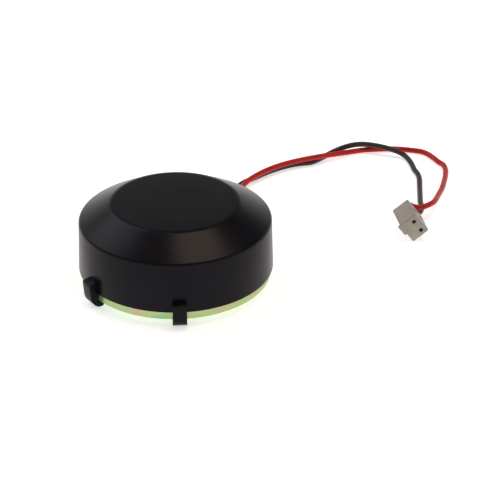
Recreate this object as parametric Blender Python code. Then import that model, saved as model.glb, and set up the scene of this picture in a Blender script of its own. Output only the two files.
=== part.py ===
# Coin vibration motor: a round moulded case clinched over a steel base plate, with an unbalanced
# pancake rotor inside and two thin leads that end in a small two-way crimp housing.
# Metres, +Z up. The origin is at the centre of the four feet's underside, and +Y is the lead exit.

import math

import bmesh
import bpy
from mathutils import Vector

MM = 0.001

# ---- driving dimensions ----
CASE_R = 15.0 * MM  # at the open rim
CASE_EDGE_R = 14.78 * MM  # at the foot of the chamfer: about two degrees of mould draft
CASE_TOP_R = 9.8 * MM
FOOT_H = 1.0 * MM  # underside of the base plate above the surface that the feet stand on
PLATE_T = 1.35 * MM
PLATE_R = 14.6 * MM
SEAT = 0.05 * MM  # gap between two pieces that bear on each other
BAND_H = 7.95 * MM
CHAMFER_H = 2.85 * MM
WALL = 1.3 * MM
EDGE_ROUND = 0.35 * MM
ROUND_STEPS = 64
SMALL_STEPS = 32

PLATE_TOP = FOOT_H + PLATE_T
RIM_Z = PLATE_TOP + SEAT
EDGE_Z = RIM_Z + BAND_H
TOP_Z = EDGE_Z + CHAMFER_H
ROOF_Z = TOP_Z - WALL

# ---- clinch legs ----
LEG_W = 2.15 * MM
LEG_PROUD = 1.25 * MM
LEG_RISE = 2.0 * MM
LEG_SPREAD = math.radians(29.4)  # each leg of a pair lies this far from the middle of its pair
LEG_TWIST = math.radians(3.9)  # the pairs stand this far round from the line through the lead exit
LEG_ROUND = 0.22 * MM

# ---- shaft and what holds it ----
SHAFT_R = 0.75 * MM
SHAFT_HOLE_R = 0.80 * MM
SHAFT_LOW = 1.1 * MM
BOSS_R = 2.2 * MM
BOSS_LOW = 10.45 * MM
BOSS_HOLE_TOP = 11.5 * MM
COLLAR_R = 1.5 * MM
COLLAR_TOP = 5.35 * MM
WASHER_R = 1.8 * MM
WASHER_T = 0.15 * MM
BUSH_R = 1.9 * MM
BUSH_HOLE_R = 0.79 * MM
BUSH_LOW = COLLAR_TOP + WASHER_T + 2 * SEAT
BUSH_TOP = BOSS_LOW - WASHER_T - 2 * SEAT

# ---- stator ----
BOARD_LOW = PLATE_TOP + SEAT
BOARD_T = 0.3 * MM
BOARD_TOP = BOARD_LOW + BOARD_T
BOARD_R = 10.9 * MM
BOARD_HOLE_R = 1.6 * MM
TONGUE_W = 3.4 * MM
TONGUE_END = 13.3 * MM
MAGNET_IN_R = 5.3 * MM
MAGNET_OUT_R = 10.4 * MM
MAGNET_T = 2.5 * MM
BRUSH_T = 0.12 * MM
BRUSH_W = 0.9 * MM
BRUSH_X = 3.0 * MM
SOLDER_X = 0.75 * MM
SOLDER_Y = 11.65 * MM
SOLDER_R = 0.5 * MM

# ---- rotor ----
HEAVY_SIDE = math.radians(-60.0)  # where the heavy side stands at rest, from +X
SEGMENT_COUNT = 6
SEGMENT_LOW = 5.9 * MM
SEGMENT_T = 0.1 * MM
SEGMENT_IN_R = 2.2 * MM
SEGMENT_OUT_R = 4.6 * MM
SEGMENT_SPAN = math.radians(52.0)
ROTOR_BOARD_R = 5.0 * MM
ROTOR_BOARD_T = 0.35 * MM
HUB_HOLE_R = BUSH_R + SEAT
HUB_R = 3.2 * MM
FRAME_R = 10.2 * MM
FRAME_HALF_SPAN = math.radians(100.0)
FRAME_T = 2.75 * MM
COIL_COUNT = 3
COIL_SPACING = math.radians(60.0)
COIL_CENTRE_R = 6.9 * MM
COIL_R = 2.6 * MM
COIL_HOLE_R = 1.0 * MM
COIL_T = 2.45 * MM
WEIGHT_OUT_R = 12.7 * MM
WEIGHT_HALF_SPAN = math.radians(80.0)
WEIGHT_T = 3.15 * MM

ROTOR_BOARD_LOW = SEGMENT_LOW + SEGMENT_T + SEAT
FRAME_LOW = ROTOR_BOARD_LOW + ROTOR_BOARD_T + SEAT

# ---- leads and their exit ----
LEAD_D = 0.92 * MM
LEAD_X = 0.58 * MM  # half the distance between the two leads at the exit
LEAD_Z = 3.22 * MM
LEAD_STEP = 1.6 * MM
NOTCH_HALF_W = 1.4 * MM
NOTCH_TOP = 4.05 * MM
SEAL_IN_Y = 13.7 * MM
SEAL_OUT_Y = 15.15 * MM

# ---- two-way crimp housing, in its own frame: X along the row, Y out of the mating face ----
PLUG_W = 3.9 * MM
PLUG_L = 5.4 * MM
PLUG_T = 3.1 * MM
PLUG_PITCH = 2.0 * MM
PLUG_ROW_Z = 0.62 * MM
PLUG_CENTRE = Vector((25.65, 30.16, 2.5)) * MM
PLUG_ROLL = math.radians(-52.7)  # it lies on one long edge, held by its leads
PLUG_HEADING = math.radians(-140.6)
CAVITY_W = 1.4 * MM
PIN_HOLE_W = 0.6 * MM
FRONT_WALL = 0.5 * MM
CONTACT_W = 1.2 * MM
CONTACT_L = 3.4 * MM

# Route points of the two free leads in millimetres, from the solder joint to the crimp housing.
RED_ROUTE = [
    (0.58, 12.35, 3.22),
    (0.58, 14.0, 3.22),
    (0.58, 15.6, 3.22),
    (0.4, 17.5, 3.1),
    (-0.4, 19.7, 2.6),
    (-1.8, 22.2, 1.95),
    (-3.3, 25.0, 1.6),
    (-4.4, 28.0, 1.5),
    (-4.8, 30.5, 1.5),
    (-4.6, 33.0, 1.5),
    (-4.0, 35.7, 1.5),
    (-3.1, 38.2, 1.5),
    (-2.0, 40.3, 1.5),
    (-0.8, 42.1, 1.5),
    (0.5, 43.8, 1.5),
    (1.8, 45.8, 1.35),
    (2.8, 48.0, 0.95),
    (3.9, 50.2, 0.6),
    (5.3, 52.1, 0.48),
    (6.9, 53.5, 0.48),
    (10.3, 55.7, 0.48),
    (14.2, 57.0, 0.48),
    (16.0, 56.9, 0.48),
    (17.69, 56.01, 0.48),
    (19.24, 54.95, 0.48),
    (20.43, 54.32, 0.48),
    (21.5, 52.85, 0.52),
    (22.53, 50.55, 0.68),
    (23.49, 47.85, 0.9),
    (24.4, 45.03, 1.2),
    (25.24, 41.73, 1.69),
    (26.04, 38.51, 2.24),
    (26.1, 36.81, 2.52),
    (25.73, 35.79, 2.51),
    (24.94, 35.14, 2.29),
    (24.16, 34.63, 2.52),
    (23.66, 33.83, 3.11),
    (23.62, 32.82, 3.53),
    (24.04, 31.94, 3.67),
    (24.55, 31.32, 3.67),
]
BLACK_ROUTE = [
    (-0.58, 12.35, 3.22),
    (-0.58, 14.0, 3.22),
    (-0.58, 15.6, 3.22),
    (-0.85, 17.4, 2.9),
    (-1.9, 19.7, 1.9),
    (-3.5, 22.6, 0.9),
    (-5.1, 25.8, 0.5),
    (-6.1, 29.0, 0.48),
    (-6.1, 31.7, 0.48),
    (-5.3, 34.5, 0.48),
    (-4.2, 37.9, 0.48),
    (-2.6, 41.0, 0.48),
    (-1.15, 42.75, 0.48),
    (0.2, 44.0, 0.48),
    (0.8, 45.7, 0.48),
    (1.2, 47.4, 0.48),
    (1.6, 49.3, 0.48),
    (2.45, 50.8, 0.75),
    (3.85, 51.9, 1.22),
    (5.6, 52.6, 1.58),
    (7.6, 53.15, 1.62),
    (9.61, 53.64, 1.45),
    (11.51, 53.98, 1.15),
    (12.9, 54.0, 0.8),
    (14.2, 53.3, 0.58),
    (15.6, 51.9, 0.48),
    (16.94, 50.18, 0.48),
    (17.9, 49.27, 0.48),
    (19.0, 47.72, 0.48),
    (20.41, 44.9, 0.5),
    (21.88, 41.89, 0.65),
    (23.17, 39.31, 0.9),
    (24.36, 37.26, 1.03),
    (24.65, 35.68, 1.06),
    (24.52, 34.35, 1.47),
    (24.56, 33.41, 1.92),
    (24.98, 32.71, 2.08),
    (25.48, 32.09, 2.08),
]


def material(name, colour, roughness, metallic=0.0):
    made = bpy.data.materials.new(name)
    made.use_nodes = True
    shader = made.node_tree.nodes["Principled BSDF"]
    shader.inputs["Base Color"].default_value = (*colour, 1.0)
    shader.inputs["Roughness"].default_value = roughness
    shader.inputs["Metallic"].default_value = metallic
    made.diffuse_color = (*colour, 1.0)
    return made


def finish(name, bm, look=None):
    """Turns a bmesh into a linked object with outward normals."""
    bmesh.ops.recalc_face_normals(bm, faces=bm.faces)
    mesh = bpy.data.meshes.new(name)
    bm.to_mesh(mesh)
    bm.free()
    mesh.shade_smooth()
    mesh.set_sharp_from_angle(angle=math.radians(30.0))
    piece = bpy.data.objects.new(name, mesh)
    bpy.context.collection.objects.link(piece)
    if look is None:
        piece.hide_render = True
        piece.display_type = "WIRE"
    else:
        mesh.materials.append(look)
    return piece


def turned(name, profile, look=None, steps=ROUND_STEPS):
    """A body of revolution about Z. A profile that starts and ends on the axis is left open there."""
    bm = bmesh.new()
    points = [bm.verts.new((r, 0.0, z)) for r, z in profile]
    edges = [bm.edges.new(pair) for pair in zip(points, points[1:])]
    if profile[0][0] > 0.0:
        edges.append(bm.edges.new((points[-1], points[0])))
    bmesh.ops.spin(
        bm,
        geom=points + edges,
        cent=(0.0, 0.0, 0.0),
        axis=(0.0, 0.0, 1.0),
        angle=2.0 * math.pi,
        steps=steps,
        use_merge=True,
    )
    bmesh.ops.remove_doubles(bm, verts=bm.verts, dist=1e-7)
    return finish(name, bm, look)


def ring(name, inner, outer, low, high, look, steps=ROUND_STEPS):
    return turned(name, [(inner, low), (outer, low), (outer, high), (inner, high)], look, steps)


def prism(name, outline, low, high, look=None):
    """An outline in the XY plane, extruded from low to high."""
    bm = bmesh.new()
    base = bm.faces.new([bm.verts.new((x, y, low)) for x, y in outline])
    grown = bmesh.ops.extrude_face_region(bm, geom=[base])
    raised = [item for item in grown["geom"] if isinstance(item, bmesh.types.BMVert)]
    bmesh.ops.translate(bm, verts=raised, vec=(0.0, 0.0, high - low))
    return finish(name, bm, look)


def box(name, low, high, look=None):
    corners = [(low[0], low[1]), (high[0], low[1]), (high[0], high[1]), (low[0], high[1])]
    return prism(name, corners, low[2], high[2], look)


def arc(radius, start, end, steps):
    """Points on a circle about the origin, ends included."""
    angles = [start + (end - start) * i / steps for i in range(steps + 1)]
    return [(radius * math.cos(a), radius * math.sin(a)) for a in angles]


def rounded(before, corner, after, radius, steps=3):
    """Replaces one corner of a profile by a short arc-like curve."""
    here = Vector(corner)
    back = here + (Vector(before) - here).normalized() * radius
    on = here + (Vector(after) - here).normalized() * radius
    shares = [i / steps for i in range(steps + 1)]
    return [tuple(back * (1 - t) ** 2 + here * 2 * t * (1 - t) + on * t**2) for t in shares]


def combine(piece, tool, operation):
    cut = piece.modifiers.new(tool.name, "BOOLEAN")
    cut.operation = operation
    cut.object = tool
    cut.solver = "EXACT"


def bevel(piece, width, segments=2):
    edge = piece.modifiers.new("rounded edges", "BEVEL")
    edge.width = width
    edge.segments = segments
    edge.limit_method = "ANGLE"


def make_case(look):
    chamfer = (Vector((CASE_TOP_R, TOP_Z)) - Vector((CASE_EDGE_R, EDGE_Z))).normalized()
    inward = Vector((-chamfer.y, chamfer.x)) * WALL
    inner_r = CASE_R - WALL - 0.1 * MM
    start = Vector((CASE_EDGE_R, EDGE_Z)) + inward
    knee_z = start.y + (inner_r - start.x) * chamfer.y / chamfer.x
    roof_r = start.x + (ROOF_Z - start.y) * chamfer.x / chamfer.y
    top, edge, rim = (CASE_TOP_R, TOP_Z), (CASE_EDGE_R, EDGE_Z), (CASE_R, RIM_Z)
    profile = [(0.0, TOP_Z)]
    profile += rounded((0.0, TOP_Z), top, edge, EDGE_ROUND, 2)
    profile += rounded(top, edge, rim, EDGE_ROUND)
    profile += [rim, (inner_r, RIM_Z), (inner_r, knee_z), (roof_r, ROOF_Z)]
    profile += [(BOSS_R, ROOF_Z), (BOSS_R, BOSS_LOW), (SHAFT_HOLE_R, BOSS_LOW)]
    profile += [(SHAFT_HOLE_R, BOSS_HOLE_TOP), (0.0, BOSS_HOLE_TOP)]
    case = turned("case", profile, look)
    for number, angle in enumerate(leg_angles()):
        combine(case, make_leg(f"leg_{number}", angle), "UNION")
    notch = box(
        "lead_notch",
        (-NOTCH_HALF_W, inner_r - 1.0 * MM, FOOT_H),
        (NOTCH_HALF_W, CASE_R + 1.0 * MM, NOTCH_TOP),
    )
    combine(case, notch, "DIFFERENCE")


def leg_angles():
    exit_way = math.pi / 2
    return [
        way + LEG_TWIST + side * LEG_SPREAD
        for way in (exit_way, exit_way + math.pi)
        for side in (-1, 1)
    ]


def make_leg(name, angle):
    """A clinch leg: a lug on the wall that runs down past the plate and is formed over under it."""
    outer = CASE_R + LEG_PROUD
    root_r = CASE_R - 0.7 * MM
    plate_side = PLATE_R + 0.12 * MM
    hook_top = FOOT_H - 0.08 * MM
    tip_r = PLATE_R - 0.95 * MM
    shape = [
        (root_r, RIM_Z + LEG_RISE),
        (CASE_R - 0.05 * MM, RIM_Z + LEG_RISE),
        (outer, RIM_Z + LEG_RISE - 0.25 * MM),
        (outer - 0.25 * MM, 1.4 * MM),
        (outer - 0.5 * MM, 0.85 * MM),
        (outer - 0.95 * MM, 0.35 * MM),
        (outer - 1.5 * MM, 0.0),
        (tip_r + 0.35 * MM, 0.0),
        (tip_r, 0.4 * MM),
        (tip_r + 0.08 * MM, hook_top),
        (plate_side, hook_top),
        (plate_side, RIM_Z + 0.4 * MM),
        (root_r, RIM_Z + 0.4 * MM),
    ]
    leg = prism(name, shape, -LEG_W / 2, LEG_W / 2)
    leg.rotation_euler = (math.pi / 2, 0.0, angle)
    bevel(leg, LEG_ROUND)
    return leg


def make_base_plate(look):
    ring("base_plate", SHAFT_HOLE_R, PLATE_R, FOOT_H, PLATE_TOP, look)


def make_shaft_group(steel, brass, nylon):
    shaft_top = BOSS_HOLE_TOP - SEAT
    tip = 0.15 * MM
    turned(
        "shaft",
        [
            (0.0, SHAFT_LOW),
            (SHAFT_R, SHAFT_LOW),
            (SHAFT_R, shaft_top - tip),
            (SHAFT_R - tip, shaft_top),
            (0.0, shaft_top),
        ],
        steel,
        SMALL_STEPS,
    )
    ring("shaft_collar", SHAFT_HOLE_R, COLLAR_R, BOARD_LOW, COLLAR_TOP, brass, SMALL_STEPS)
    low = COLLAR_TOP + SEAT
    ring("lower_washer", SHAFT_HOLE_R, WASHER_R, low, low + WASHER_T, nylon, SMALL_STEPS)
    high = BOSS_LOW - SEAT
    ring("upper_washer", SHAFT_HOLE_R, WASHER_R, high - WASHER_T, high, nylon, SMALL_STEPS)


def make_brush_board(look):
    half = TONGUE_W / 2
    meet = math.asin(half / BOARD_R)
    outline = arc(BOARD_R, math.pi / 2 + meet, 2.5 * math.pi - meet, 48)
    outline += [(half, TONGUE_END), (-half, TONGUE_END)]
    board = prism("brush_board", outline, BOARD_LOW, BOARD_TOP, look)
    low, high = BOARD_LOW - MM, BOARD_TOP + MM
    profile = [(0.0, low), (BOARD_HOLE_R, low), (BOARD_HOLE_R, high), (0.0, high)]
    combine(board, turned("board_hole", profile, None, SMALL_STEPS), "DIFFERENCE")


def make_magnet(look):
    low = BOARD_TOP + SEAT
    ring("ring_magnet", MAGNET_IN_R, MAGNET_OUT_R, low, low + MAGNET_T, look)


def make_brush(name, side, look):
    """A leaf spring: a foot on the board, a rising arm and a curled tip under the commutator."""
    foot_z = BOARD_TOP + SEAT
    tip_z = SEGMENT_LOW - SEAT
    path = [(-3.2, foot_z), (-1.6, foot_z), (0.9, tip_z - 0.35 * MM), (1.4, tip_z - 0.06 * MM)]
    path += [(1.8, tip_z - BRUSH_T), (2.2, tip_z - 0.1 * MM - BRUSH_T)]
    lower = [(y * MM, z) for y, z in path]
    upper = [(y * MM, z + BRUSH_T) for y, z in reversed(path)]
    lower[3] = (lower[3][0], tip_z - 0.06 * MM - BRUSH_T)
    upper[2] = (upper[2][0], tip_z - 0.06 * MM)
    bm = bmesh.new()
    face = bm.faces.new([bm.verts.new((0.0, y, z)) for y, z in lower + upper])
    grown = bmesh.ops.extrude_face_region(bm, geom=[face])
    moved = [item for item in grown["geom"] if isinstance(item, bmesh.types.BMVert)]
    bmesh.ops.translate(bm, verts=moved, vec=(BRUSH_W, 0.0, 0.0))
    brush = finish(name, bm, look)
    brush.location = (side * BRUSH_X - BRUSH_W / 2, 0.0, 0.0)


def make_solder(name, side, look):
    low = BOARD_TOP + SEAT
    quarter = arc(SOLDER_R, 0.0, math.pi / 2, 5)
    profile = [(0.0, 0.0)] + [(r, z) for r, z in quarter[:-1]] + [(0.0, SOLDER_R)]
    joint = turned(name, profile, look, 20)
    joint.location = (side * SOLDER_X, SOLDER_Y, low)


def make_lead_seal(look):
    seal = box(
        "lead_seal",
        (-NOTCH_HALF_W + 0.1 * MM, SEAL_IN_Y, RIM_Z + SEAT),
        (NOTCH_HALF_W - 0.1 * MM, SEAL_OUT_Y, NOTCH_TOP - 0.1 * MM),
        look,
    )
    for side in (-1, 1):
        hole_r = LEAD_D / 2 + SEAT
        reach = 2.0 * MM
        profile = [(0.0, -reach), (hole_r, -reach), (hole_r, reach), (0.0, reach)]
        hole = turned(f"seal_hole_{side}", profile, None, 16)
        hole.location = (side * LEAD_X, (SEAL_IN_Y + SEAL_OUT_Y) / 2, LEAD_Z)
        hole.rotation_euler = (math.pi / 2, 0.0, 0.0)
        combine(seal, hole, "DIFFERENCE")


def make_rotor(looks):
    axis = bpy.data.objects.new("rotor_axis", None)
    bpy.context.collection.objects.link(axis)
    axis.rotation_euler = (0.0, 0.0, HEAVY_SIDE)
    pieces = [
        ring("bearing_bush", BUSH_HOLE_R, BUSH_R, BUSH_LOW, BUSH_TOP, looks["bronze"], SMALL_STEPS),
        make_rotor_frame(looks["resin"]),
        make_rotor_board(looks["board"]),
        make_counterweight(looks["tungsten"]),
    ]
    pieces += [make_coil(number, looks["wire"]) for number in range(COIL_COUNT)]
    pieces += [make_segment(number, looks["gold"]) for number in range(SEGMENT_COUNT)]
    for piece in pieces:
        piece.parent = axis


def make_rotor_frame(look):
    outline = arc(FRAME_R, -FRAME_HALF_SPAN, FRAME_HALF_SPAN, 40)
    outline += arc(HUB_R, FRAME_HALF_SPAN, 2 * math.pi - FRAME_HALF_SPAN, 14)
    frame = prism("rotor_frame", outline, FRAME_LOW, FRAME_LOW + FRAME_T, look)
    low, high = FRAME_LOW - MM, FRAME_LOW + FRAME_T + MM
    hub = [(0.0, low), (HUB_HOLE_R, low), (HUB_HOLE_R, high), (0.0, high)]
    combine(frame, turned("hub_hole", hub, None, SMALL_STEPS), "DIFFERENCE")
    pocket_r = COIL_R + SEAT
    for number in range(COIL_COUNT):
        pocket = [(0.0, low), (pocket_r, low), (pocket_r, high), (0.0, high)]
        cutter = turned(f"coil_pocket_{number}", pocket, None, SMALL_STEPS)
        cutter.location = coil_place(number)
        combine(frame, cutter, "DIFFERENCE")
    for cut in frame.modifiers:
        cut.object.parent = bpy.data.objects["rotor_axis"]
    return frame


def coil_place(number):
    angle = (number - (COIL_COUNT - 1) / 2) * COIL_SPACING
    return (COIL_CENTRE_R * math.cos(angle), COIL_CENTRE_R * math.sin(angle), 0.0)


def make_coil(number, look):
    name = f"coil_{number + 1}"
    coil = ring(name, COIL_HOLE_R, COIL_R, FRAME_LOW, FRAME_LOW + COIL_T, look, SMALL_STEPS)
    coil.location = coil_place(number)
    return coil


def make_rotor_board(look):
    high = ROTOR_BOARD_LOW + ROTOR_BOARD_T
    return ring("commutator_board", HUB_HOLE_R, ROTOR_BOARD_R, ROTOR_BOARD_LOW, high, look, SMALL_STEPS)


def sector(name, inner, outer, half_span, low, high, look, steps):
    outline = arc(outer, -half_span, half_span, steps)
    outline += arc(inner, half_span, -half_span, steps)
    return prism(name, outline, low, high, look)


def make_counterweight(look):
    inner = FRAME_R + SEAT
    high = FRAME_LOW + WEIGHT_T
    return sector("counterweight", inner, WEIGHT_OUT_R, WEIGHT_HALF_SPAN, FRAME_LOW, high, look, 28)


def make_segment(number, look):
    name = f"commutator_segment_{number + 1}"
    high = SEGMENT_LOW + SEGMENT_T
    half = SEGMENT_SPAN / 2
    piece = sector(name, SEGMENT_IN_R, SEGMENT_OUT_R, half, SEGMENT_LOW, high, look, 6)
    piece.rotation_euler = (0.0, 0.0, 2.0 * math.pi * number / SEGMENT_COUNT)
    return piece


def smooth_route(route, step):
    """Points about a step apart on a Catmull-Rom curve through the route, ends included."""
    knots = [Vector(p) * MM for p in route]
    knots = [2 * knots[0] - knots[1]] + knots + [2 * knots[-1] - knots[-2]]
    fine = []
    for a, b, c, d in zip(knots, knots[1:], knots[2:], knots[3:]):
        for i in range(20):
            t = i / 20
            bend = (2 * a - 5 * b + 4 * c - d) * t**2 + (3 * b - a - 3 * c + d) * t**3
            fine.append((2 * b + (c - a) * t + bend) / 2)
    fine.append(knots[-2])
    lengths = [0.0]
    for before, after in zip(fine, fine[1:]):
        lengths.append(lengths[-1] + (after - before).length)
    count = round(lengths[-1] / step)
    picked = []
    at = 0
    for i in range(count + 1):
        want = lengths[-1] * i / count
        while at < len(fine) - 2 and lengths[at + 1] < want:
            at += 1
        share = (want - lengths[at]) / (lengths[at + 1] - lengths[at])
        picked.append(fine[at].lerp(fine[at + 1], min(1.0, share)))
    return picked


def make_lead(name, route, look):
    curve = bpy.data.curves.new(name, "CURVE")
    curve.dimensions = "3D"
    curve.bevel_depth = LEAD_D / 2
    curve.bevel_resolution = 2
    curve.use_fill_caps = True
    spline = curve.splines.new("POLY")
    points = smooth_route(route, LEAD_STEP)
    spline.points.add(len(points) - 1)
    for slot, point in zip(spline.points, points):
        slot.co = (*point, 1.0)
    lead = bpy.data.objects.new(name, curve)
    bpy.context.collection.objects.link(lead)
    curve.materials.append(look)


def make_plug(nylon, tin):
    place = bpy.data.objects.new("plug_place", None)
    bpy.context.collection.objects.link(place)
    place.location = PLUG_CENTRE
    place.rotation_euler = (0.0, PLUG_ROLL, PLUG_HEADING)
    half = Vector((PLUG_W, PLUG_L, PLUG_T)) / 2
    housing = box("connector_housing", -half, half, nylon)
    housing.parent = place
    bevel(housing, 0.12 * MM, 1)
    front = half.y - FRONT_WALL
    key = box(
        "key_rib",
        (-0.1 * MM, half.y - 0.6 * MM, -half.z - 0.35 * MM),
        (1.8 * MM, half.y - 0.05 * MM, -half.z + 0.3 * MM),
    )
    tools = [(key, "UNION")]
    for number, side in enumerate((1, -1)):
        x = side * PLUG_PITCH / 2
        cavity = centred_box(f"cavity_{number}", x, CAVITY_W, -half.y - MM, front)
        pin_hole = centred_box(f"pin_hole_{number}", x, PIN_HOLE_W, front - 0.1 * MM, half.y + MM)
        window = box(
            f"lance_window_{number}",
            (x - 0.4 * MM, -0.9 * MM, PLUG_ROW_Z),
            (x + 0.4 * MM, 0.3 * MM, half.z + MM),
        )
        tools += [(cavity, "DIFFERENCE"), (pin_hole, "DIFFERENCE"), (window, "DIFFERENCE")]
        contact = make_contact(f"contact_{number + 1}", x, front, tin)
        contact.parent = place
    for tool, operation in tools:
        tool.parent = place
        combine(housing, tool, operation)


def centred_box(name, x, width, low_y, high_y):
    """A square bar along Y, centred on the row of contacts."""
    side = width / 2
    low = (x - side, low_y, PLUG_ROW_Z - side)
    return box(name, low, (x + side, high_y, PLUG_ROW_Z + side))


def make_contact(name, x, front, look):
    """A crimp receptacle: a square sleeve, open at the mating end."""
    half = CONTACT_W / 2
    end = front - SEAT * 2
    low = (x - half, end - CONTACT_L, PLUG_ROW_Z - half)
    sleeve = box(name, low, (x + half, end, PLUG_ROW_Z + half), look)
    mouth = centred_box(f"{name}_mouth", x, PIN_HOLE_W, end - CONTACT_L + 0.8 * MM, end + MM)
    mouth.parent = bpy.data.objects["plug_place"]
    combine(sleeve, mouth, "DIFFERENCE")
    return sleeve


def main():
    for piece in list(bpy.data.objects):
        bpy.data.objects.remove(piece, do_unlink=True)
    steel = material("ground steel", (0.55, 0.55, 0.57), 0.25, 1.0)
    brass = material("brass", (0.75, 0.58, 0.28), 0.3, 1.0)
    tin = material("tinned bronze", (0.72, 0.70, 0.66), 0.35, 1.0)
    glass_board = material("glass epoxy board", (0.10, 0.28, 0.14), 0.5)
    looks = {
        "bronze": material("sintered bronze", (0.45, 0.30, 0.16), 0.45, 1.0),
        "resin": material("black resin", (0.03, 0.03, 0.03), 0.5),
        "board": glass_board,
        "tungsten": material("tungsten alloy", (0.35, 0.35, 0.36), 0.4, 1.0),
        "wire": material("enamelled copper", (0.60, 0.22, 0.08), 0.35, 1.0),
        "gold": material("gold plate", (0.85, 0.65, 0.25), 0.25, 1.0),
    }
    make_case(material("black moulded case", (0.018, 0.017, 0.020), 0.42))
    make_base_plate(material("yellow passivated steel", (0.45, 0.55, 0.28), 0.3, 0.9))
    make_shaft_group(steel, brass, material("nylon washer", (0.8, 0.78, 0.72), 0.5))
    make_brush_board(glass_board)
    make_magnet(material("nickel plated magnet", (0.62, 0.62, 0.60), 0.25, 1.0))
    for name, side in (("positive", 1), ("negative", -1)):
        make_brush(f"brush_{name}", side, looks["bronze"])
        make_solder(f"solder_{name}", side, tin)
    make_lead_seal(material("sealing adhesive", (0.75, 0.72, 0.62), 0.4))
    make_rotor(looks)
    make_lead("lead_red", RED_ROUTE, material("red insulation", (0.42, 0.008, 0.006), 0.4))
    make_lead("lead_black", BLACK_ROUTE, material("black insulation", (0.03, 0.024, 0.022), 0.4))
    make_plug(material("off white nylon", (0.52, 0.50, 0.46), 0.5), tin)


main()
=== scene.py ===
# Coin vibration motor: the looks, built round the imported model.
import math

import bmesh
import bpy
from mathutils import Euler, Matrix, Vector


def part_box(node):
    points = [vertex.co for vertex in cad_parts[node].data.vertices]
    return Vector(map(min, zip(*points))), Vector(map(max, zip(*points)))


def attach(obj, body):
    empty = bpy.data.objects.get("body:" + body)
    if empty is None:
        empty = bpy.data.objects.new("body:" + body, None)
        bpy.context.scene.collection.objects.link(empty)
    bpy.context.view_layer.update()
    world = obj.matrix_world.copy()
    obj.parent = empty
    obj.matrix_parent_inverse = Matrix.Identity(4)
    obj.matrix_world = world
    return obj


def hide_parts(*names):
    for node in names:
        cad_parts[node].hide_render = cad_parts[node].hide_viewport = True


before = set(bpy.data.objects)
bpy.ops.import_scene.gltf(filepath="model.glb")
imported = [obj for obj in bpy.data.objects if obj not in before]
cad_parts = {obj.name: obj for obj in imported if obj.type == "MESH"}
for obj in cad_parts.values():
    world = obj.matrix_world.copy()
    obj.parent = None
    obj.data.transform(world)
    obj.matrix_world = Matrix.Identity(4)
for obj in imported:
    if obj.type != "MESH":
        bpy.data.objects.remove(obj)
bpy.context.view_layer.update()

mm = 0.001
scene = bpy.context.scene
print("frame loaded:", len(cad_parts), "pieces")


def hexColour(text):
    # sRGB hex to the linear colour that the shaders take.
    values = [int(text[i : i + 2], 16) / 255 for i in (1, 3, 5)]
    linear = [v / 12.92 if v <= 0.04045 else ((v + 0.055) / 1.055) ** 2.4 for v in values]
    return (*linear, 1.0)


def addNode(tree, kind, settings=None, links=None, stops=None, **attributes):
    # One node with its socket values, its incoming links and, for a ramp, its colour stops.
    # The first two stops take over the ramp's own ends; the rest are added between them.
    node = tree.nodes.new(kind)
    for name, value in attributes.items():
        setattr(node, name, value)
    for socket, value in (settings or {}).items():
        node.inputs[socket].default_value = value
    for socket, source in (links or {}).items():
        tree.links.new(source, node.inputs[socket])
    for index, (place, colour) in enumerate(stops or []):
        elements = node.color_ramp.elements
        element = elements[index] if index < 2 else elements.new(place)
        element.position = place
        element.color = hexColour(colour)
    return node


def newMaterial(name, **sockets):
    # A material and its tree, with the constants set on the shader's own sockets.
    material = bpy.data.materials.new(name)
    material.use_nodes = True
    tree = material.node_tree
    shader = tree.nodes["Principled BSDF"]
    for socket, value in sockets.items():
        shader.inputs[socket.replace("_", " ")].default_value = value
    where = addNode(tree, "ShaderNodeTexCoord").outputs["Object"]
    return material, tree, shader, where


def perMillimetre(size):
    # Texture scale for features of that many millimetres.
    return 1.0 / (size * mm)


def noise(tree, where, size, detail):
    # Plain noise whose features are about that many millimetres across.
    node = addNode(
        tree,
        "ShaderNodeTexNoise",
        {"Scale": perMillimetre(size), "Detail": detail},
        {"Vector": where},
    )
    return node.outputs["Fac"]


def bumpNode(tree, height, strength, distance):
    node = addNode(
        tree,
        "ShaderNodeBump",
        {"Strength": strength, "Distance": distance},
        {"Height": height},
    )
    return node.outputs["Normal"]


cameraSettings = {
    "azimuth": 29.5,  # degrees round the motor, 0 looks along +Y
    "elevation": 29.3,
    "distance": 320 * mm,
    "lens": 145.9,  # on a 36 mm wide sensor
    "lookAt": Vector((6.71, 11.32, 1.0)) * mm,
}


def fromDirection(azimuth, elevation):
    a, e = math.radians(azimuth), math.radians(elevation)
    return Vector((math.sin(a) * math.cos(e), -math.cos(a) * math.cos(e), math.sin(e)))


def makeCamera():
    data = bpy.data.cameras.new("camera")
    data.lens = cameraSettings["lens"]
    data.sensor_width = 36.0
    data.clip_start = 0.01
    data.clip_end = 20.0
    camera = bpy.data.objects.new("camera", data)
    scene.collection.objects.link(camera)
    back = fromDirection(cameraSettings["azimuth"], cameraSettings["elevation"])
    camera.location = cameraSettings["lookAt"] + back * cameraSettings["distance"]
    camera.rotation_mode = "QUATERNION"
    camera.rotation_quaternion = (-back).to_track_quat("-Z", "Y")
    scene.camera = camera


makeCamera()
print("camera placed")

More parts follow.
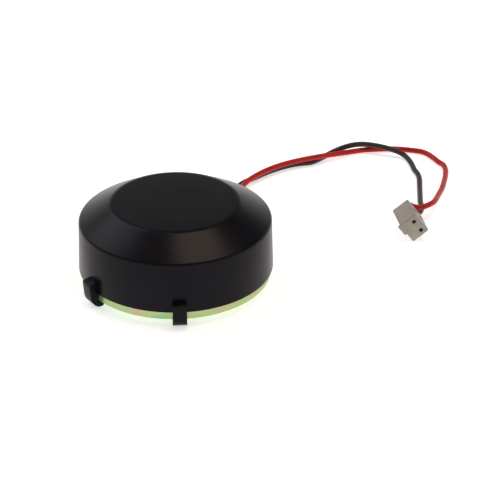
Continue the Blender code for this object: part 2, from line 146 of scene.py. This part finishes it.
# Route points in millimetres, from the solder joint inside the case to the crimp housing.
leadSettings = {
    "diameter": 0.92 * mm,
    "skinRadius": 0.455 * mm,
    "step": 0.5 * mm,
    "sides": 6,
    "exitY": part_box("lead_seal")[1].y,  # outer face of the seal
}
redRoute = [
    (0.58, 12.35, 3.22),
    (0.58, 14.0, 3.22),
    (0.58, 15.6, 3.22),
    (0.4, 17.5, 3.1),
    (-0.4, 19.7, 2.6),
    (-1.8, 22.2, 1.95),
    (-3.3, 25.0, 1.6),
    (-4.4, 28.0, 1.5),
    (-4.8, 30.5, 1.5),
    (-4.6, 33.0, 1.5),
    (-4.0, 35.7, 1.5),
    (-3.1, 38.2, 1.5),
    (-2.0, 40.3, 1.5),
    (-0.8, 42.1, 1.5),
    (0.5, 43.8, 1.5),
    (1.8, 45.8, 1.35),
    (2.8, 48.0, 0.95),
    (3.9, 50.2, 0.6),
    (5.3, 52.1, 0.48),
    (6.9, 53.5, 0.48),
    (10.3, 55.7, 0.48),
    (14.2, 57.0, 0.48),
    (16.0, 56.9, 0.48),
    (17.69, 56.01, 0.48),
    (19.24, 54.95, 0.48),
    (20.43, 54.32, 0.48),
    (21.5, 52.85, 0.52),
    (22.53, 50.55, 0.68),
    (23.49, 47.85, 0.9),
    (24.4, 45.03, 1.2),
    (25.24, 41.73, 1.69),
    (26.04, 38.51, 2.24),
    (26.1, 36.81, 2.52),
    (25.73, 35.79, 2.51),
    (24.94, 35.14, 2.29),
    (24.16, 34.63, 2.52),
    (23.66, 33.83, 3.11),
    (23.62, 32.82, 3.53),
    (24.04, 31.94, 3.67),
    (24.55, 31.32, 3.67),
]
blackRoute = [
    (-0.58, 12.35, 3.22),
    (-0.58, 14.0, 3.22),
    (-0.58, 15.6, 3.22),
    (-0.85, 17.4, 2.9),
    (-1.9, 19.7, 1.9),
    (-3.5, 22.6, 0.9),
    (-5.1, 25.8, 0.5),
    (-6.1, 29.0, 0.48),
    (-6.1, 31.7, 0.48),
    (-5.3, 34.5, 0.48),
    (-4.2, 37.9, 0.48),
    (-2.6, 41.0, 0.48),
    (-1.15, 42.75, 0.48),
    (0.2, 44.0, 0.48),
    (0.8, 45.7, 0.48),
    (1.2, 47.4, 0.48),
    (1.6, 49.3, 0.48),
    (2.45, 50.8, 0.75),
    (3.85, 51.9, 1.22),
    (5.6, 52.6, 1.58),
    (7.6, 53.15, 1.62),
    (9.61, 53.64, 1.45),
    (11.51, 53.98, 1.15),
    (12.9, 54.0, 0.8),
    (14.2, 53.3, 0.58),
    (15.6, 51.9, 0.48),
    (16.94, 50.18, 0.48),
    (17.9, 49.27, 0.48),
    (19.0, 47.72, 0.48),
    (20.41, 44.9, 0.5),
    (21.88, 41.89, 0.65),
    (23.17, 39.31, 0.9),
    (24.36, 37.26, 1.03),
    (24.65, 35.68, 1.06),
    (24.52, 34.35, 1.47),
    (24.56, 33.41, 1.92),
    (24.98, 32.71, 2.08),
    (25.48, 32.09, 2.08),
]


def smoothRoute(route, step):
    # Points about a step apart on a smooth curve through the route, ends included.
    knots = [Vector(p) * mm for p in route]
    knots = [2 * knots[0] - knots[1]] + knots + [2 * knots[-1] - knots[-2]]
    fine = []
    for a, b, c, d in zip(knots, knots[1:], knots[2:], knots[3:]):
        for i in range(20):
            t = i / 20
            bend = (2 * a - 5 * b + 4 * c - d) * t**2 + (3 * b - a - 3 * c + d) * t**3
            fine.append((2 * b + (c - a) * t + bend) / 2)
    fine.append(knots[-2])
    lengths = [0.0]
    for before, after in zip(fine, fine[1:]):
        lengths.append(lengths[-1] + (after - before).length)
    count = round(lengths[-1] / step)
    picked = []
    at = 0
    for i in range(count + 1):
        want = lengths[-1] * i / count
        while at < len(fine) - 2 and lengths[at + 1] < want:
            at += 1
        share = (want - lengths[at]) / (lengths[at + 1] - lengths[at])
        picked.append(fine[at].lerp(fine[at + 1], min(1.0, share)))
    return picked, lengths[-1]


def makeLead(name, route, material, node):
    data = bpy.data.curves.new(name, "CURVE")
    data.dimensions = "3D"
    data.bevel_depth = leadSettings["skinRadius"]
    data.bevel_resolution = leadSettings["sides"]
    data.use_fill_caps = True
    spline = data.splines.new("POLY")
    points, length = smoothRoute(route, leadSettings["step"])
    spline.points.add(len(points) - 1)
    for target, point in zip(spline.points, points):
        target.co = (*point, 1.0)
    spline.use_smooth = True
    lead = bpy.data.objects.new(name, data)
    scene.collection.objects.link(lead)
    data.materials.append(material)
    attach(lead, "motor_body")
    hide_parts(node)
    return lead, length


def pvcInsulation(name, deep, light, sheen):
    # Extruded soft PVC: waxy colour with faint cloudy streaks and a satin, slightly uneven skin.
    material, tree, shader, where = newMaterial(name, IOR=1.53, Specular_IOR_Level=sheen)
    cloud = noise(tree, where, 2.5, 3.0)
    tint = addNode(
        tree,
        "ShaderNodeValToRGB",
        links={"Fac": cloud},
        stops=[(0.3, deep), (0.72, light)],
    )
    rough = addNode(
        tree,
        "ShaderNodeMapRange",
        {"From Min": 0.3, "From Max": 0.7, "To Min": 0.34, "To Max": 0.52},
        {"Value": cloud},
    )
    # Die lines are about 0.02 mm apart; drawn at 0.15 mm so that they show.
    skin = noise(tree, where, 0.15, 2.0)
    bump = bumpNode(tree, skin, 0.35, 0.02 * mm)
    tree.links.new(tint.outputs["Color"], shader.inputs["Base Color"])
    tree.links.new(rough.outputs["Result"], shader.inputs["Roughness"])
    tree.links.new(bump, shader.inputs["Normal"])
    return material


redPvc = pvcInsulation("red PVC insulation", "#a3100a", "#bd1a10", 0.25)
blackPvc = pvcInsulation("black PVC insulation", "#241c1a", "#332825", 0.3)
redLead, redLength = makeLead("lead_red_insulated", redRoute, redPvc, "lead_red")
blackLead, blackLength = makeLead(
    "lead_black_insulated", blackRoute, blackPvc, "lead_black"
)
print("leads laid: red %.1f mm, black %.1f mm" % (redLength / mm, blackLength / mm))


def pbtCase():
    # Black PBT, moulded in a spark-eroded tool: near-black, satin, with a fine grain that
    # softens reflections.
    material, tree, shader, where = newMaterial("moulded PBT black", IOR=1.55, Specular_IOR_Level=0.085)
    flow = noise(tree, where, 7.0, 4.0)
    tint = addNode(
        tree,
        "ShaderNodeValToRGB",
        links={"Fac": flow},
        stops=[(0.3, "#0c0a10"), (0.7, "#100e14")],
    )
    rough = addNode(
        tree,
        "ShaderNodeMapRange",
        {"From Min": 0.3, "From Max": 0.7, "To Min": 0.27, "To Max": 0.31},
        {"Value": flow},
    )
    # The eroded grain is about 0.05 mm; drawn at 0.14 mm so that it shows.
    grain = noise(tree, where, 0.14, 2.0)
    bump = bumpNode(tree, grain, 0.22, 0.008 * mm)
    tree.links.new(tint.outputs["Color"], shader.inputs["Base Color"])
    tree.links.new(rough.outputs["Result"], shader.inputs["Roughness"])
    tree.links.new(bump, shader.inputs["Normal"])
    return material


def linkMesh(name, bm, sharpAngle=32.0):
    # Turns a bmesh into a smooth-shaded object whose creases stay sharp.
    bmesh.ops.recalc_face_normals(bm, faces=bm.faces)
    mesh = bpy.data.meshes.new(name)
    bm.to_mesh(mesh)
    bm.free()
    mesh.shade_smooth()
    mesh.set_sharp_from_angle(angle=math.radians(sharpAngle))
    piece = bpy.data.objects.new(name, mesh)
    scene.collection.objects.link(piece)
    return piece


def turned(name, profile, steps):
    # A body of revolution about Z; profile points are (radius, height) and may end on the axis.
    bm = bmesh.new()
    points = [bm.verts.new((r, 0.0, z)) for r, z in profile]
    edges = [bm.edges.new(pair) for pair in zip(points, points[1:])]
    if profile[0][0] > 0.0:
        edges.append(bm.edges.new((points[-1], points[0])))
    bmesh.ops.spin(
        bm,
        geom=points + edges,
        cent=(0.0, 0.0, 0.0),
        axis=(0.0, 0.0, 1.0),
        angle=2.0 * math.pi,
        steps=steps,
        use_merge=True,
    )
    bmesh.ops.remove_doubles(bm, verts=bm.verts, dist=1e-7)
    return linkMesh(name, bm)


def extruded(name, outline, low, high):
    # An outline in XY, extruded from low to high.
    bm = bmesh.new()
    base = bm.faces.new([bm.verts.new((x, y, low)) for x, y in outline])
    grown = bmesh.ops.extrude_face_region(bm, geom=[base])
    raised = [item for item in grown["geom"] if isinstance(item, bmesh.types.BMVert)]
    bmesh.ops.translate(bm, verts=raised, vec=(0.0, 0.0, high - low))
    return linkMesh(name, bm)


def block(name, low, high):
    corners = [(low[0], low[1]), (high[0], low[1]), (high[0], high[1]), (low[0], high[1])]
    return extruded(name, corners, low[2], high[2])


def eased(before, corner, after, size, steps=6):
    # Replaces a corner of a profile by a short curve that starts that far from it.
    here = Vector(corner)
    back = here + (Vector(before) - here).normalized() * size
    on = here + (Vector(after) - here).normalized() * size
    shares = [i / steps for i in range(steps + 1)]
    return [tuple(back * (1 - t) ** 2 + here * 2 * t * (1 - t) + on * t**2) for t in shares]


def easedOutline(corners):
    # A closed outline from (x, y, easing) corners.
    outline = []
    for index, (x, y, size) in enumerate(corners):
        before = corners[index - 1]
        after = corners[(index + 1) % len(corners)]
        if size > 0.0:
            outline += eased(before[:2], (x, y), after[:2], size, 4)
        else:
            outline.append((x, y))
    return outline


def roundEdges(piece, width, segments=3):
    edge = piece.modifiers.new("rounded edges", "BEVEL")
    edge.width = width
    edge.segments = segments
    edge.limit_method = "ANGLE"
    edge.angle_limit = math.radians(30.0)


def combine(piece, tools):
    # Cuts or joins each tool, then keeps the result as the piece's own mesh.
    for tool, operation in tools:
        cut = piece.modifiers.new(tool.name, "BOOLEAN")
        cut.operation = operation
        cut.object = tool
        cut.solver = "EXACT"
    settle(piece)
    for tool, _ in tools:
        bpy.data.objects.remove(tool)


def settle(piece, sharpAngle=32.0):
    # Applies the piece's modifiers and transform to its mesh.
    bpy.context.view_layer.update()
    evaluated = piece.evaluated_get(bpy.context.evaluated_depsgraph_get())
    mesh = bpy.data.meshes.new_from_object(evaluated)
    mesh.transform(piece.matrix_world)
    piece.modifiers.clear()
    piece.matrix_world = Matrix.Identity(4)
    piece.data = mesh
    mesh.shade_smooth()
    mesh.set_sharp_from_angle(angle=math.radians(sharpAngle))


def dress(piece, material, body, slot, *nodes):
    # Gives a finished piece its material and body, and hides the CAD nodes that it stands for.
    piece.data.materials.clear()
    piece.data.materials.append(material)
    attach(piece, body)
    if nodes:
        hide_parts(*nodes)
    return piece


caseSettings = {
    "topRadius": 9.8 * mm,
    "edgeRadius": 14.78 * mm,
    "chamferHeight": 2.85 * mm,
    "wall": 1.3 * mm,
    "topRound": 0.42 * mm,
    "edgeRound": 0.34 * mm,
    "rimBreak": 0.08 * mm,
    "bossRadius": 2.2 * mm,
    "bossLow": 10.45 * mm,
    "pinRadius": 0.8 * mm,
    "pinTop": 11.5 * mm,
    "seat": 0.05 * mm,  # gap over the plate
    "innerDraft": 0.1 * mm,
    "notchReach": 1.0 * mm,  # how far the lead notch is cut past the wall on each side
    "notchPlay": 0.1 * mm,  # round the seal
    "steps": 256,
}
legSettings = {
    "width": 2.1 * mm,
    "proud": 1.19 * mm,
    "rootDepth": 0.7 * mm,  # how far the leg runs into the wall
    "plateGap": 0.12 * mm,
    "hookGap": 0.08 * mm,
    "hookReach": 0.95 * mm,  # how far the foot is formed in under the plate
    "rise": 2.0 * mm,  # above the rim
    "spread": 29.4,  # degrees from the middle of a pair
    "twist": 3.9,  # degrees that the pairs stand round from the line through the lead exit
    "round": 0.24 * mm,
    "footSpread": 0.04,  # how much wider the formed-over foot is
}


def caseBody():
    s = caseSettings
    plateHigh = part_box("base_plate")[1]
    rimR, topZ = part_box("case")[1].x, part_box("case")[1].z
    rimZ = plateHigh.z + s["seat"]
    edgeZ = topZ - s["chamferHeight"]
    chamfer = (Vector((s["topRadius"], topZ)) - Vector((s["edgeRadius"], edgeZ))).normalized()
    inward = Vector((-chamfer.y, chamfer.x)) * s["wall"]
    innerR = rimR - s["wall"] - s["innerDraft"]
    start = Vector((s["edgeRadius"], edgeZ)) + inward
    kneeZ = start.y + (innerR - start.x) * chamfer.y / chamfer.x
    roofZ = topZ - s["wall"]
    roofR = start.x + (roofZ - start.y) * chamfer.x / chamfer.y
    top, edge, rim = (s["topRadius"], topZ), (s["edgeRadius"], edgeZ), (rimR, rimZ)
    profile = [(0.0, topZ), (s["topRadius"] / 2, topZ)]
    profile += eased((0.0, topZ), top, edge, s["topRound"])
    profile += eased(top, edge, rim, s["edgeRound"])
    profile += eased(edge, rim, (innerR, rimZ), s["rimBreak"], 3)
    profile += [(innerR, rimZ), (innerR, kneeZ), (roofR, roofZ)]
    profile += [(s["bossRadius"], roofZ), (s["bossRadius"], s["bossLow"]), (s["pinRadius"], s["bossLow"])]
    profile += [(s["pinRadius"], s["pinTop"]), (0.0, s["pinTop"])]
    case = turned("case_moulding", profile, s["steps"])
    tools = []
    for way in (90.0, 270.0):
        for side in (-1, 1):
            angle = way + legSettings["twist"] + side * legSettings["spread"]
            tools.append((clinchLeg(f"leg_{angle:.0f}", math.radians(angle), rimR, rimZ), "UNION"))
    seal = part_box("lead_seal")
    play, reach = s["notchPlay"], s["notchReach"]
    notch = block(
        "lead_notch",
        (seal[0].x - play, innerR - reach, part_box("base_plate")[0].z),
        (seal[1].x + play, rimR + reach, seal[1].z + play),
    )
    tools.append((notch, "DIFFERENCE"))
    combine(case, tools)
    return case


def clinchLeg(name, angle, rimR, rimZ):
    # A leg that runs down past the plate and is formed over under it.
    s = legSettings
    plateLow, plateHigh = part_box("base_plate")
    outer = rimR + s["proud"]
    root = rimR - s["rootDepth"]
    plateSide = plateHigh.x + s["plateGap"]
    hookTop = plateLow.z - s["hookGap"]
    tip = plateHigh.x - s["hookReach"]
    top = rimZ + s["rise"]
    corners = [
        (root, top, 0.0),
        (rimR - 0.05 * mm, top, 0.1 * mm),
        (outer, top - 0.25 * mm, 0.24 * mm),
        (outer - 0.25 * mm, 1.4 * mm, 0.3 * mm),
        (outer - 0.5 * mm, 0.85 * mm, 0.2 * mm),
        (outer - 0.95 * mm, 0.35 * mm, 0.25 * mm),
        (outer - 1.5 * mm, 0.0, 0.25 * mm),
        (tip + 0.35 * mm, 0.0, 0.2 * mm),
        (tip, 0.4 * mm, 0.2 * mm),
        (tip + 0.08 * mm, hookTop, 0.06 * mm),
        (plateSide, hookTop, 0.0),
        (plateSide, rimZ + 0.4 * mm, 0.0),
        (root, rimZ + 0.4 * mm, 0.0),
    ]
    leg = extruded(name, easedOutline(corners), -s["width"] / 2, s["width"] / 2)
    roundEdges(leg, s["round"], 4)
    settle(leg)
    for vertex in leg.data.vertices:
        share = max(0.0, 1.0 - vertex.co.y / (plateHigh.z + 0.2 * mm))
        vertex.co.z *= 1.0 + s["footSpread"] * share * share * (3.0 - 2.0 * share)
    leg.rotation_euler = (math.pi / 2, 0.0, angle)
    return leg


case = dress(caseBody(), pbtCase(), "motor_body", "case_black", "case")
print("case moulded")


def passivatedZinc():
    # Yellow-passivated zinc on steel: a thin film that drifts between green, straw and rose,
    # over punched metal.
    material, tree, shader, where = newMaterial("yellow passivated zinc plate", Metallic=0.7)
    film = addNode(
        tree,
        "ShaderNodeTexNoise",
        {"Scale": perMillimetre(4.5), "Detail": 3.0, "Roughness": 0.55, "Distortion": 0.6},
        {"Vector": where},
    )
    tint = addNode(
        tree,
        "ShaderNodeValToRGB",
        links={"Fac": film.outputs["Fac"]},
        stops=[
            (0.3, "#7fb894"),
            (0.74, "#cdbf9e"),
            (0.4, "#93c291"),
            (0.48, "#a6c480"),
            (0.6, "#b5c78a"),
            (0.68, "#c9b09a"),
        ],
    )
    rough = addNode(
        tree,
        "ShaderNodeMapRange",
        {"From Min": 0.3, "From Max": 0.7, "To Min": 0.28, "To Max": 0.42},
        {"Value": film.outputs["Fac"]},
    )
    stretch = addNode(tree, "ShaderNodeMapping", {"Scale": (1.0, 1.0, 0.12)}, {"Vector": where})
    # Punch marks on the sheared edge are about 0.05 mm apart; drawn at 0.18 mm so that they show.
    marks = noise(tree, stretch.outputs["Vector"], 0.18, 2.0)
    bump = bumpNode(tree, marks, 0.4, 0.02 * mm)
    tree.links.new(tint.outputs["Color"], shader.inputs["Base Color"])
    tree.links.new(rough.outputs["Result"], shader.inputs["Roughness"])
    tree.links.new(bump, shader.inputs["Normal"])
    return material


plateSettings = {
    "holeRadius": 0.8 * mm,
    "rollOver": 0.16 * mm,  # rounded side of the punched edge
    "edgeBreak": 0.05 * mm,
    "steps": 192,
}


def plateBody():
    s = plateSettings
    low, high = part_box("base_plate")
    r, z0, z1 = high.x, low.z, high.z
    profile = [(s["holeRadius"], z0)]
    profile += eased((s["holeRadius"], z0), (r, z0), (r, z1), s["rollOver"], 5)
    profile += eased((r, z0), (r, z1), (s["holeRadius"], z1), s["edgeBreak"], 2)
    profile += [(s["holeRadius"], z1)]
    return turned("base_plate_punched", profile, s["steps"])


dress(plateBody(), passivatedZinc(), "motor_body", "passivated_steel", "base_plate")
print("base plate punched")


def siliconeSeal():
    # Cured silicone bead: milky, slightly glossy and lumpy where it was pressed in.
    material, tree, shader, where = newMaterial("cured silicone seal", IOR=1.41, Subsurface_Weight=0.1)
    shader.inputs["Subsurface Radius"].default_value = (0.6 * mm, 0.5 * mm, 0.4 * mm)
    lumps = noise(tree, where, 0.6, 3.0)
    tint = addNode(
        tree,
        "ShaderNodeValToRGB",
        links={"Fac": lumps},
        stops=[(0.3, "#b9b3a4"), (0.7, "#d6d1c4")],
    )
    rough = addNode(
        tree,
        "ShaderNodeMapRange",
        {"From Min": 0.3, "From Max": 0.7, "To Min": 0.22, "To Max": 0.4},
        {"Value": lumps},
    )
    bump = bumpNode(tree, lumps, 0.5, 0.08 * mm)
    tree.links.new(tint.outputs["Color"], shader.inputs["Base Color"])
    tree.links.new(rough.outputs["Result"], shader.inputs["Roughness"])
    tree.links.new(bump, shader.inputs["Normal"])
    return material


sealRound = 0.28 * mm


def sealBead():
    low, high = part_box("lead_seal")
    seal = block("lead_seal_bead", low, high)
    roundEdges(seal, sealRound, 4)
    settle(seal)
    return seal


dress(sealBead(), siliconeSeal(), "motor_body", "seal_adhesive", "lead_seal")


plugSettings = {
    "width": 3.9 * mm,
    "length": 5.4 * mm,
    "thickness": 3.1 * mm,
    "pitch": 2.0 * mm,
    "rowHeight": 0.62 * mm,
    "centre": Vector((25.65, 30.16, 2.5)) * mm,
    "roll": -52.7,  # degrees: it lies on one long edge, held by its leads
    "heading": -140.6,
    "cavity": 1.4 * mm,
    "pinHole": 0.6 * mm,
    "frontWall": 0.5 * mm,
    "round": 0.19 * mm,
    # a low key rib on the long side, at the mating end
    "ribFrom": -0.1 * mm,
    "ribTo": 1.8 * mm,
    "ribLength": 0.6 * mm,
    "ribSetBack": 0.05 * mm,
    "ribHeight": 0.35 * mm,
    "ribRoot": 0.3 * mm,
    "ribRound": 0.07 * mm,
    "overlap": 0.1 * mm,  # of a pin hole's cut into its cavity
    # the windows that the contacts' lances snap into
    "windowHalf": 0.4 * mm,
    "windowBack": -0.9 * mm,
    "windowFront": 0.3 * mm,
}


def nylonHousing():
    # Natural nylon 66, moulded: greyish ivory, slightly translucent, with faint flow clouds.
    material, tree, shader, where = newMaterial("natural nylon 66", IOR=1.53, Subsurface_Weight=0.12)
    shader.inputs["Subsurface Radius"].default_value = (0.7 * mm, 0.5 * mm, 0.4 * mm)
    flow = noise(tree, where, 1.6, 4.0)
    tint = addNode(
        tree,
        "ShaderNodeValToRGB",
        links={"Fac": flow},
        stops=[(0.3, "#8d867d"), (0.7, "#a29b92")],
    )
    rough = addNode(
        tree,
        "ShaderNodeMapRange",
        {"From Min": 0.3, "From Max": 0.7, "To Min": 0.38, "To Max": 0.55},
        {"Value": flow},
    )
    # The tool finish is about 0.04 mm; drawn at 0.16 mm so that it shows.
    grain = noise(tree, where, 0.16, 2.0)
    bump = bumpNode(tree, grain, 0.3, 0.015 * mm)
    tree.links.new(tint.outputs["Color"], shader.inputs["Base Color"])
    tree.links.new(rough.outputs["Result"], shader.inputs["Roughness"])
    tree.links.new(bump, shader.inputs["Normal"])
    return material


def plugPlace():
    s = plugSettings
    turn = Euler((0.0, math.radians(s["roll"]), math.radians(s["heading"])))
    return Matrix.Translation(s["centre"]) @ turn.to_matrix().to_4x4()


def bar(name, x, width, lowY, highY):
    # A square bar along Y, centred on the row of contacts.
    side = width / 2
    row = plugSettings["rowHeight"]
    return block(name, (x - side, lowY, row - side), (x + side, highY, row + side))


def housingBody():
    s = plugSettings
    half = Vector((s["width"], s["length"], s["thickness"])) / 2
    housing = block("connector_housing_moulded", -half, half)
    roundEdges(housing, s["round"], 3)
    settle(housing)
    key = block(
        "key_rib",
        (s["ribFrom"], half.y - s["ribLength"], -half.z - s["ribHeight"]),
        (s["ribTo"], half.y - s["ribSetBack"], -half.z + s["ribRoot"]),
    )
    roundEdges(key, s["ribRound"], 2)
    settle(key)
    tools = [(key, "UNION")]
    front = half.y - s["frontWall"]
    for number, side in enumerate((1, -1)):
        x = side * s["pitch"] / 2
        tools.append((bar(f"cavity_{number}", x, s["cavity"], -half.y - mm, front), "DIFFERENCE"))
        pinHole = bar(f"pin_hole_{number}", x, s["pinHole"], front - s["overlap"], half.y + mm)
        tools.append((pinHole, "DIFFERENCE"))
        window = block(
            f"lance_window_{number}",
            (x - s["windowHalf"], s["windowBack"], s["rowHeight"]),
            (x + s["windowHalf"], s["windowFront"], half.z + mm),
        )
        tools.append((window, "DIFFERENCE"))
    combine(housing, tools)
    housing.matrix_world = plugPlace()
    settle(housing)
    return housing


housing = dress(housingBody(), nylonHousing(), "motor_body", "housing_nylon", "connector_housing")
print("crimp housing moulded")


def plainFinish(name, dark, light, rough, cloud, grain, depth, stretch=(1.0, 1.0, 1.0), **sockets):
    # Two close colours in clouds of one size, and a finer surface relief, all in millimetres.
    material, tree, shader, where = newMaterial(name, **sockets)
    drift = noise(tree, where, cloud, 3.0)
    tint = addNode(
        tree, "ShaderNodeValToRGB", links={"Fac": drift}, stops=[(0.32, dark), (0.68, light)]
    )
    spread = addNode(
        tree,
        "ShaderNodeMapRange",
        {"From Min": 0.3, "From Max": 0.7, "To Min": rough - 0.06, "To Max": rough + 0.08},
        {"Value": drift},
    )
    squeeze = addNode(tree, "ShaderNodeMapping", {"Scale": stretch}, {"Vector": where})
    relief = noise(tree, squeeze.outputs["Vector"], grain, 2.0)
    bump = bumpNode(tree, relief, 0.4, depth * mm)
    tree.links.new(tint.outputs["Color"], shader.inputs["Base Color"])
    tree.links.new(spread.outputs["Result"], shader.inputs["Roughness"])
    tree.links.new(bump, shader.inputs["Normal"])
    return material


# Each finish is named for the real one; the note says what it gives the eye.
finishes = {
    # centreless-ground steel: bright with fine rings round the pin
    "groundSteel": plainFinish(
        "ground steel", "#b9babd", "#d0d1d3", 0.22, 1.2, 0.1, 0.004, (0.2, 0.2, 1.0), Metallic=1.0
    ),
    # free-cutting brass, turned: warm with close tool rings
    "brass": plainFinish(
        "turned brass", "#c9a35a", "#dcb86e", 0.28, 1.2, 0.1, 0.006, (0.2, 0.2, 1.0), Metallic=1.0
    ),
    # nylon film: milky and faintly waxy
    "washerNylon": plainFinish(
        "nylon film washer", "#d8d3c6", "#e8e4da", 0.45, 0.8, 0.1, 0.005, IOR=1.53
    ),
    # glass epoxy board under green solder mask: glassy with a hint of weave
    "board": plainFinish("green solder mask board", "#1d4a2b", "#2a6238", 0.3, 1.5, 0.3, 0.01, IOR=1.5),
    # nickel-plated neodymium: bright, cold and slightly orange-peeled
    "magnet": plainFinish(
        "nickel plated magnet", "#b8b6b0", "#cbc9c3", 0.2, 2.5, 0.4, 0.008, Metallic=1.0
    ),
    # phosphor bronze strip: rosy yellow with rolling lines along the strip
    "spring": plainFinish(
        "rolled phosphor bronze", "#b98552", "#cf9c66", 0.3, 1.0, 0.08, 0.004, (1.0, 0.1, 1.0), Metallic=1.0
    ),
    # tin solder: soft grey dome, frosted as it froze
    "solder": plainFinish(
        "frozen tin solder", "#b3b5b6", "#cdcfcf", 0.3, 0.5, 0.08, 0.01, Metallic=1.0
    ),
    # oil-filled sintered bronze: brown, dull and visibly porous
    "sintered": plainFinish(
        "sintered bronze", "#7c5530", "#9c6e42", 0.5, 0.5, 0.12, 0.03, Metallic=1.0
    ),
    # glass-filled black resin: dull with pale fibre streaks
    "resin": plainFinish("glass filled resin", "#1d1d1f", "#2c2c2e", 0.5, 0.7, 0.15, 0.015, IOR=1.57),
    # pressed tungsten alloy: heavy dark grey with a powdery grain
    "tungsten": plainFinish(
        "pressed tungsten alloy", "#77777a", "#8f8f92", 0.42, 1.0, 0.12, 0.012, Metallic=1.0
    ),
    # enamelled copper wire: deep orange brown under a clear varnish
    "copper": plainFinish(
        "enamelled copper", "#a4471b", "#c4622c", 0.3, 0.8, 0.1, 0.006, Metallic=1.0, Coat_Weight=0.6
    ),
    # flash gold over nickel: smooth yellow with faint wipe marks
    "gold": plainFinish("flash gold plate", "#dfb65a", "#efcb78", 0.2, 0.8, 0.1, 0.004, Metallic=1.0),
    # tinned bronze strip, stamped and folded: soft silver with draw lines
    "tinned": plainFinish(
        "tinned bronze strip", "#bdb8ac", "#d2cec4", 0.3, 0.6, 0.08, 0.006, Metallic=1.0
    ),
}
finishOfNode = {
    "shaft": "groundSteel",
    "shaft_collar": "brass",
    "lower_washer": "washerNylon",
    "upper_washer": "washerNylon",
    "brush_board": "board",
    "commutator_board": "board",
    "ring_magnet": "magnet",
    "brush_positive": "spring",
    "brush_negative": "spring",
    "solder_positive": "solder",
    "solder_negative": "solder",
    "bearing_bush": "sintered",
    "rotor_frame": "resin",
    "counterweight": "tungsten",
}
for number in range(1, 7):
    finishOfNode[f"commutator_segment_{number}"] = "gold"
for number in (1, 2, 3):
    finishOfNode[f"coil_{number}"] = "copper"
for number in (1, 2):
    finishOfNode[f"contact_{number}"] = "tinned"
for node, finish in finishOfNode.items():
    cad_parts[node].material_slots[0].material = finishes[finish]
print("inner pieces finished:", len(finishOfNode))

studioSettings = {
    "floorSize": 8.0,
    "floorGlow": 0.6,  # a light table: it washes the shadows out
    "floorGlowFar": 0.86,  # brighter away from the lamps, so that it stays even
    "horizonLow": 14.0,  # degrees up to which the surround stays white
    "horizonHigh": 27.0,
    "surroundHigh": 0.16,
}
softboxes = {
    # azimuth, elevation, distance, width, height, radiance, colour
    "overhead": (136.0, 76.0, 0.8, 0.34, 0.42, 5.4, "#ffe6d4"),
    "back_left": (-100.9, 47.0, 0.8, 0.42, 0.46, 2.6, "#f6f8ff"),
}


def makeFloor():
    size = studioSettings["floorSize"]
    bm = bmesh.new()
    bmesh.ops.create_grid(bm, x_segments=1, y_segments=1, size=size / 2)
    floor = linkMesh("floor", bm)
    # Opal acrylic on a light table: plain near-white.
    material, tree, shader, where = newMaterial("opal acrylic table", Roughness=0.6, Specular_IOR_Level=0.0)
    shader.inputs["Base Color"].default_value = hexColour("#f2f2f2")
    shader.inputs["Emission Color"].default_value = hexColour("#ffffff")
    away = addNode(tree, "ShaderNodeVectorMath", links={0: where}, operation="LENGTH")
    glow = addNode(
        tree,
        "ShaderNodeMapRange",
        {
            "From Min": 0.1,
            "From Max": 1.2,
            "To Min": studioSettings["floorGlow"],
            "To Max": studioSettings["floorGlowFar"],
        },
        {"Value": away.outputs["Value"]},
    )
    tree.links.new(glow.outputs["Result"], shader.inputs["Emission Strength"])
    floor.data.materials.append(material)


def makeSurround():
    s = studioSettings
    world = bpy.data.worlds.new("white surround")
    scene.world = world
    world.use_nodes = True
    tree = world.node_tree
    direction = addNode(tree, "ShaderNodeTexCoord")
    split = addNode(tree, "ShaderNodeSeparateXYZ", links={"Vector": direction.outputs["Generated"]})
    fade = addNode(
        tree,
        "ShaderNodeMapRange",
        {
            "From Min": math.sin(math.radians(s["horizonLow"])),
            "From Max": math.sin(math.radians(s["horizonHigh"])),
            "To Min": 1.0,
            "To Max": s["surroundHigh"],
        },
        {"Value": split.outputs["Z"]},
        interpolation_type="SMOOTHSTEP",
    )
    background = tree.nodes["Background"]
    background.inputs["Color"].default_value = hexColour("#ffffff")
    tree.links.new(fade.outputs["Result"], background.inputs["Strength"])


def makeSoftbox(name, azimuth, elevation, distance, width, height, radiance, colour):
    data = bpy.data.lights.new(name, "AREA")
    data.shape = "RECTANGLE"
    data.size = width
    data.size_y = height
    data.energy = radiance * math.pi * width * height
    data.color = hexColour(colour)[:3]
    lamp = bpy.data.objects.new(name, data)
    scene.collection.objects.link(lamp)
    away = fromDirection(azimuth, elevation)
    lamp.location = away * distance
    lamp.rotation_mode = "QUATERNION"
    lamp.rotation_quaternion = (-away).to_track_quat("-Z", "Y")


makeFloor()
makeSurround()
for name, values in softboxes.items():
    makeSoftbox(name, *values)
scene.view_settings.view_transform = "Standard"
print("studio lit")
